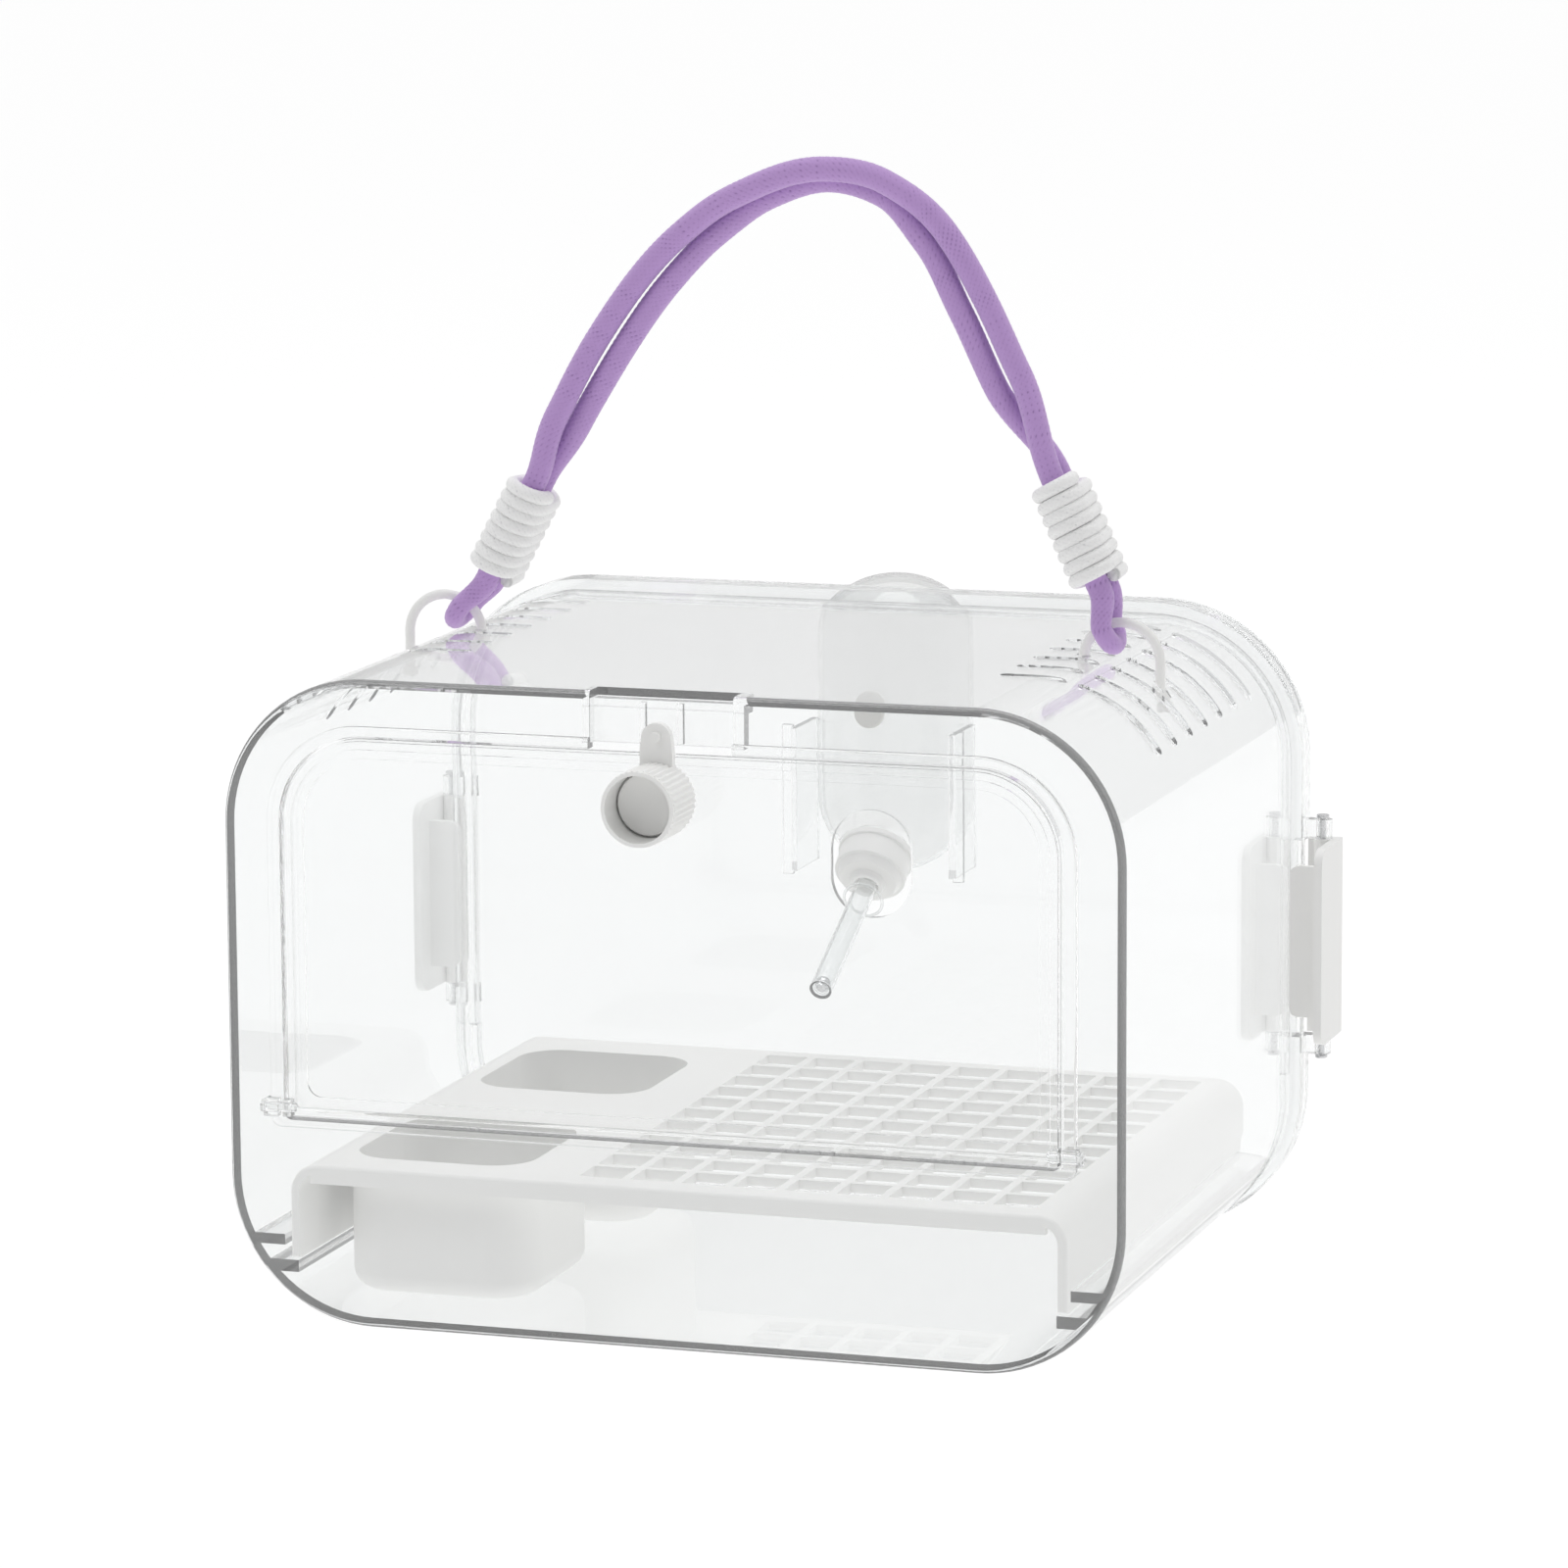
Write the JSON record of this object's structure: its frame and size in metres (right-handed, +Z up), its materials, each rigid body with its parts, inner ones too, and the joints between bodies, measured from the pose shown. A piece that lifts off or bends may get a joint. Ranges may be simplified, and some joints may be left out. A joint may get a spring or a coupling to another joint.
{
  "type": "small pet carrier",
  "caption": "Clear boxy travel carrier for a small pet: drop-down front door, clipped rear lid with a gravity water bottle, white floor platform with bowls and a rope handle.",
  "frame": {"origin": "on the resting surface, under the middle of the case between its front face and the rear edge of its lid", "axes": "+X to the right seen from the front door, +Y towards the rear lid, +Z up"},
  "size_m": [0.2786, 0.2518, 0.3156],
  "materials": {
    "clear_case": "clear, polished",
    "clear_door": "clear, polished",
    "clear_pins": "clear",
    "clear_lid": "clear, polished",
    "clear_bottle": "clear, polished",
    "clear_spout": "clear",
    "clear_ring": "clear",
    "white_latch": "satin",
    "white_clips": "satin",
    "white_cap": "satin",
    "white_rings": "satin",
    "white_platform": "fine matt",
    "grey_button": "matt",
    "steel_pins": "drawn",
    "steel_ball": "polished",
    "silicone": "matt",
    "lilac_rope": "braided",
    "white_cord": "braided"
  },
  "bodies": {
    "root": {"case_shell": "clear_case", "door_pin_left": "clear_pins", "door_pin_right": "clear_pins", "ring_left": "white_rings", "ring_right": "white_rings"},
    "door": {"front_door": "clear_door"},
    "latch": {"latch_knob": "white_latch", "latch_axle": "white_latch"},
    "lid": {"rear_lid": "clear_lid", "bottle_button": "grey_button", "clip_pin_left": "steel_pins", "clip_pin_right": "steel_pins"},
    "clip_left": {"clip_left": "white_clips"},
    "clip_right": {"clip_right": "white_clips"},
    "bottle": {"bottle_body": "clear_bottle", "bottle_cap": "white_cap", "bottle_gasket": "silicone", "spout_tube": "clear_spout", "spout_ring": "clear_ring"},
    "ball": {"spout_ball": "steel_ball"},
    "handle": {"handle_rope": "lilac_rope", "whipping_left": "white_cord", "whipping_right": "white_cord"},
    "platform": {"floor_platform": "white_platform", "platform_grid": "white_platform", "food_bowl_front": "white_platform", "food_bowl_rear": "white_platform"}
  },
  "joints": [
    {"name": "door_hinge", "type": "hinge", "parent": "root", "child": "door", "pos_m": [0, -0.0971, 0.0611], "axis": [1, 0, 0], "range_deg": [0, 100]},
    {"name": "latch_turn", "type": "hinge", "parent": "door", "child": "latch", "pos_m": [-0.0008, -0.0969, 0.152], "axis": [0, 1, 0], "range_deg": [0, 90]},
    {"name": "lid_slide", "type": "slide", "parent": "root", "child": "lid", "axis": [0, 1, 0], "range_m": [0, 0.013]},
    {"name": "clip_left_turn", "type": "hinge", "parent": "lid", "child": "clip_left", "pos_m": [-0.1345, 0.093, 0.0865], "axis": [0, 0, -1], "range_deg": [0, 107]},
    {"name": "clip_right_turn", "type": "hinge", "parent": "lid", "child": "clip_right", "pos_m": [0.1345, 0.093, 0.0865], "axis": [0, 0, 1], "range_deg": [0, 107]},
    {"name": "bottle_slide", "type": "slide", "parent": "lid", "child": "bottle", "axis": [0, 0.7997, 0.6004], "range_m": [0, 0.04]},
    {"name": "spout_ball_slide", "type": "slide", "parent": "bottle", "child": "ball", "axis": [0, 0.8926, 0.4508], "range_m": [0, 0.0012]},
    {"name": "handle_swing", "type": "hinge", "parent": "root", "child": "handle", "pos_m": [0, 0.003, 0.1877], "axis": [1, 0, 0], "range_deg": [-45, 45]},
    {"name": "platform_lift", "type": "slide", "parent": "root", "child": "platform", "axis": [0, 0, 1], "range_m": [0, 0.02]}
  ],
  "couplings": [
    {"joint": "clip_left_turn", "follows": "lid_slide", "rad_per_m": 143},
    {"joint": "clip_right_turn", "follows": "lid_slide", "rad_per_m": 143}
  ]
}
